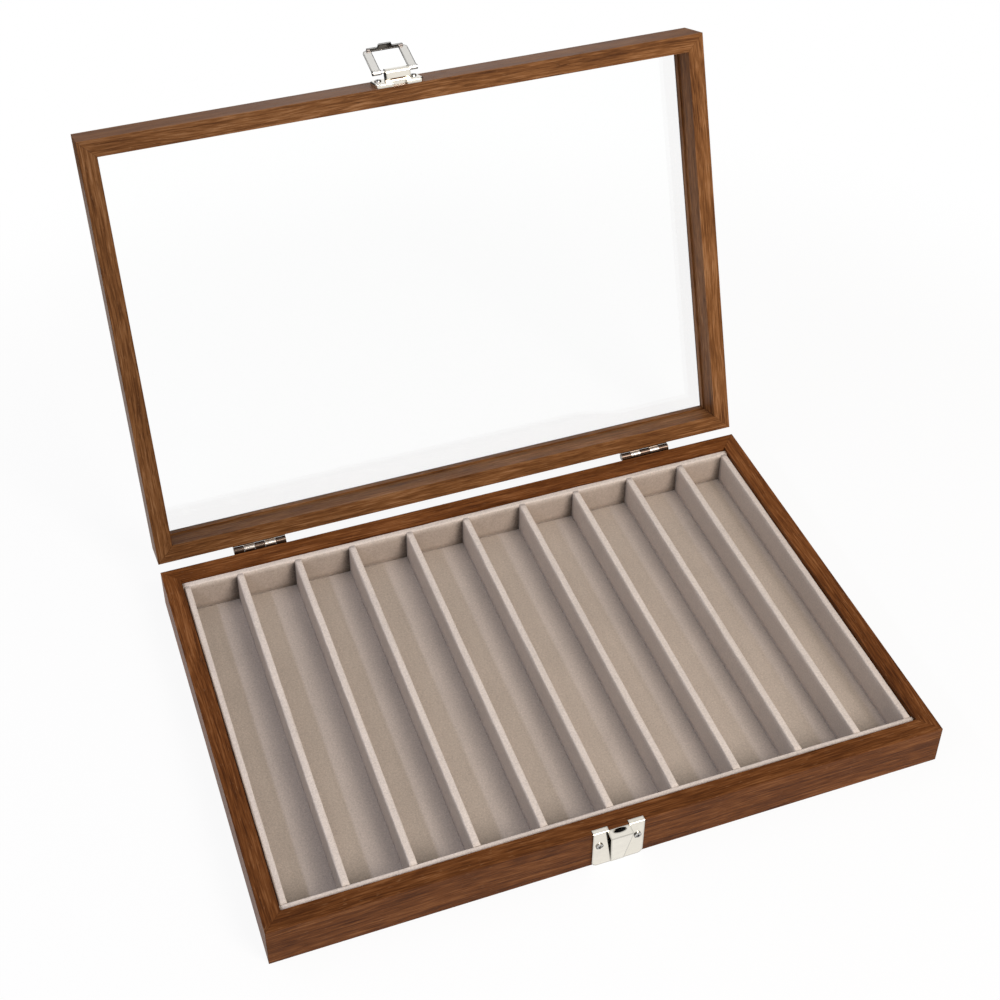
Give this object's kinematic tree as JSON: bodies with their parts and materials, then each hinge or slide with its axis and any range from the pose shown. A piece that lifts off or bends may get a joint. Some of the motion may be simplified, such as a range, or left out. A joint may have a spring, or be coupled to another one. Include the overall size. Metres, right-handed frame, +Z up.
{
  "type": "necklace display box",
  "caption": "Shallow wooden display case with a glazed hinged lid, a velvet tray of long pockets and a hasp.",
  "frame": {"origin": "centre of the case's underside, where it stands", "axes": "+X to the right along the hinge line, +Y to the back where the hinges are, +Z up"},
  "size_m": [0.35, 0.3554, 0.2658],
  "materials": {
    "walnut_wrap": "satin walnut-grain wrap",
    "velvet": "short-pile velvet",
    "backing_board": "plain fibreboard",
    "felt": "flocked felt",
    "glass": "clear float glass",
    "plated_steel": "bright plated"
  },
  "bodies": {
    "base": {"base_back_rail": "walnut_wrap", "base_front_rail": "walnut_wrap", "base_hinge_screws": "plated_steel", "base_left_rail": "walnut_wrap", "base_right_rail": "walnut_wrap", "bottom_felt": "felt", "bottom_panel": "backing_board", "divider_1": "velvet", "divider_2": "velvet", "divider_3": "velvet", "divider_4": "velvet", "divider_5": "velvet", "divider_6": "velvet", "divider_7": "velvet", "divider_8": "velvet", "divider_9": "velvet", "keeper_plate": "plated_steel", "keeper_screws": "plated_steel", "left_hinge_base_leaf": "plated_steel", "left_hinge_pin": "plated_steel", "right_hinge_base_leaf": "plated_steel", "right_hinge_pin": "plated_steel", "tray_back_wall": "velvet", "tray_floor": "velvet", "tray_front_wall": "velvet", "tray_left_wall": "velvet", "tray_right_wall": "velvet"},
    "lid": {"back_glass_bead": "walnut_wrap", "front_glass_bead": "walnut_wrap", "latch_plate": "plated_steel", "latch_plate_screws": "plated_steel", "left_glass_bead": "walnut_wrap", "left_hinge_lid_leaf": "plated_steel", "lid_back_rail": "walnut_wrap", "lid_front_rail": "walnut_wrap", "lid_glass": "glass", "lid_hinge_screws": "plated_steel", "lid_left_rail": "walnut_wrap", "lid_right_rail": "walnut_wrap", "right_glass_bead": "walnut_wrap", "right_hinge_lid_leaf": "plated_steel"},
    "hasp": {"hasp_ring": "plated_steel", "hasp_pin": "plated_steel"}
  },
  "joints": [
    {"name": "lid_hinge", "type": "hinge", "parent": "base", "child": "lid", "pos_m": [0, 0.1223, 0.0249], "axis": [1, 0, 0], "range_deg": [0, 109.5]},
    {"name": "hasp_hinge", "type": "hinge", "parent": "lid", "child": "hasp", "pos_m": [-0.003, 0.21103, 0.25869], "axis": [1, 0, 0], "range_deg": [0, 150]}
  ]
}
